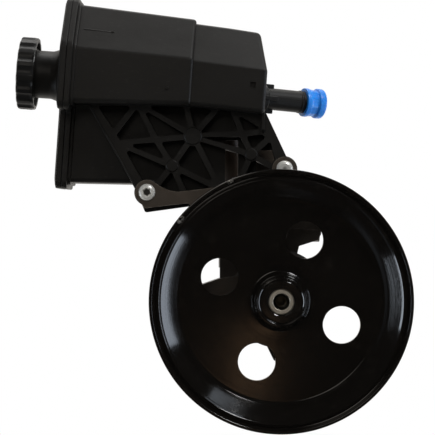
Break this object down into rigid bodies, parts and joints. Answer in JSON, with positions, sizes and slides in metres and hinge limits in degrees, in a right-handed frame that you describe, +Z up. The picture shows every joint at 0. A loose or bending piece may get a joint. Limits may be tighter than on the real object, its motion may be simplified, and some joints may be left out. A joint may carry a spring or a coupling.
{
  "type": "power steering pump",
  "caption": "Belt-driven power steering pump with ribbed pulley, black plastic reservoir on a truss-ribbed bracket, screw filler cap with dipstick and capped return tube",
  "frame": {"origin": "on the drive shaft's axis, in the plane of the housing's front mounting face", "axes": "+Y back along the shaft, away from the pulley; +Z up as pictured; +X right as seen from the pulley side"},
  "size_m": [0.2663, 0.1057, 0.2911],
  "materials": {
    "painted_casting": "casting painted black, semi-gloss",
    "bush_bronze": "bored bronze",
    "seal_rubber": "moulded rubber, matt",
    "ground_steel": "turned and ground steel",
    "zinc_plated_steel": "bright zinc plate",
    "black_enamel": "gloss black paint, chipped at the rim",
    "black_nylon": "moulded black nylon, satin",
    "screen_plastic": "natural nylon",
    "black_cap_plastic": "moulded black plastic, satin",
    "blue_plastic": "soft blue plastic, waxy",
    "insert_brass": "turned brass"
  },
  "bodies": {
    "pump_body": {"pump_housing": "painted_casting", "shaft_bush": "bush_bronze", "shaft_seal": "seal_rubber", "thrust_plate": "ground_steel", "cam_ring": "ground_steel", "pressure_plate": "ground_steel", "upper_dowel_pin": "ground_steel", "lower_dowel_pin": "ground_steel", "pressure_plate_spring": "ground_steel", "end_cover": "zinc_plated_steel", "end_cover_seal": "seal_rubber", "retaining_ring": "ground_steel", "flow_valve_spring": "ground_steel", "pressure_fitting": "zinc_plated_steel", "pressure_fitting_seal": "seal_rubber", "suction_tube": "zinc_plated_steel", "suction_seal": "seal_rubber", "reservoir_body": "black_nylon", "reservoir_cover": "black_nylon", "outlet_screen": "screen_plastic", "reservoir_screws": "zinc_plated_steel", "threaded_inserts": "insert_brass"},
    "rotating_group": {"pulley": "black_enamel", "pulley_hub": "black_enamel", "drive_shaft": "ground_steel", "rotor": "ground_steel", "vane_01": "ground_steel", "vane_02": "ground_steel", "vane_03": "ground_steel", "vane_04": "ground_steel", "vane_05": "ground_steel", "vane_06": "ground_steel", "vane_07": "ground_steel", "vane_08": "ground_steel", "vane_09": "ground_steel", "vane_10": "ground_steel"},
    "flow_valve": {"flow_valve_spool": "ground_steel"},
    "filler_seal": {"cap_seal": "seal_rubber"},
    "filler_cap": {"filler_cap": "black_cap_plastic", "dipstick": "screen_plastic"},
    "dust_cap": {"return_dust_cap": "blue_plastic"}
  },
  "joints": [
    {"name": "pulley_spin", "type": "hinge", "parent": "pump_body", "child": "rotating_group", "pos_m": [0, 0, 0], "axis": [0, 1, 0], "continuous": true},
    {"name": "flow_valve_slide", "type": "slide", "parent": "pump_body", "child": "flow_valve", "axis": [1, 0, 0], "range_m": [0, 0.004], "stiffness_N_per_m": 3000, "springref_m": -0.004},
    {"name": "cap_lift", "type": "slide", "parent": "pump_body", "child": "filler_seal", "axis": [-0.9976, 0, 0.0698], "range_m": [0, 0.095]},
    {"name": "cap_turn", "type": "hinge", "parent": "filler_seal", "child": "filler_cap", "pos_m": [-0.17382, 0.027, 0.15396], "axis": [-0.9976, 0, 0.0698], "range_deg": [0, 450]},
    {"name": "dust_cap_pull", "type": "slide", "parent": "pump_body", "child": "dust_cap", "axis": [0.9249, 0.3746, -0.0647], "range_m": [0, 0.03]}
  ]
}
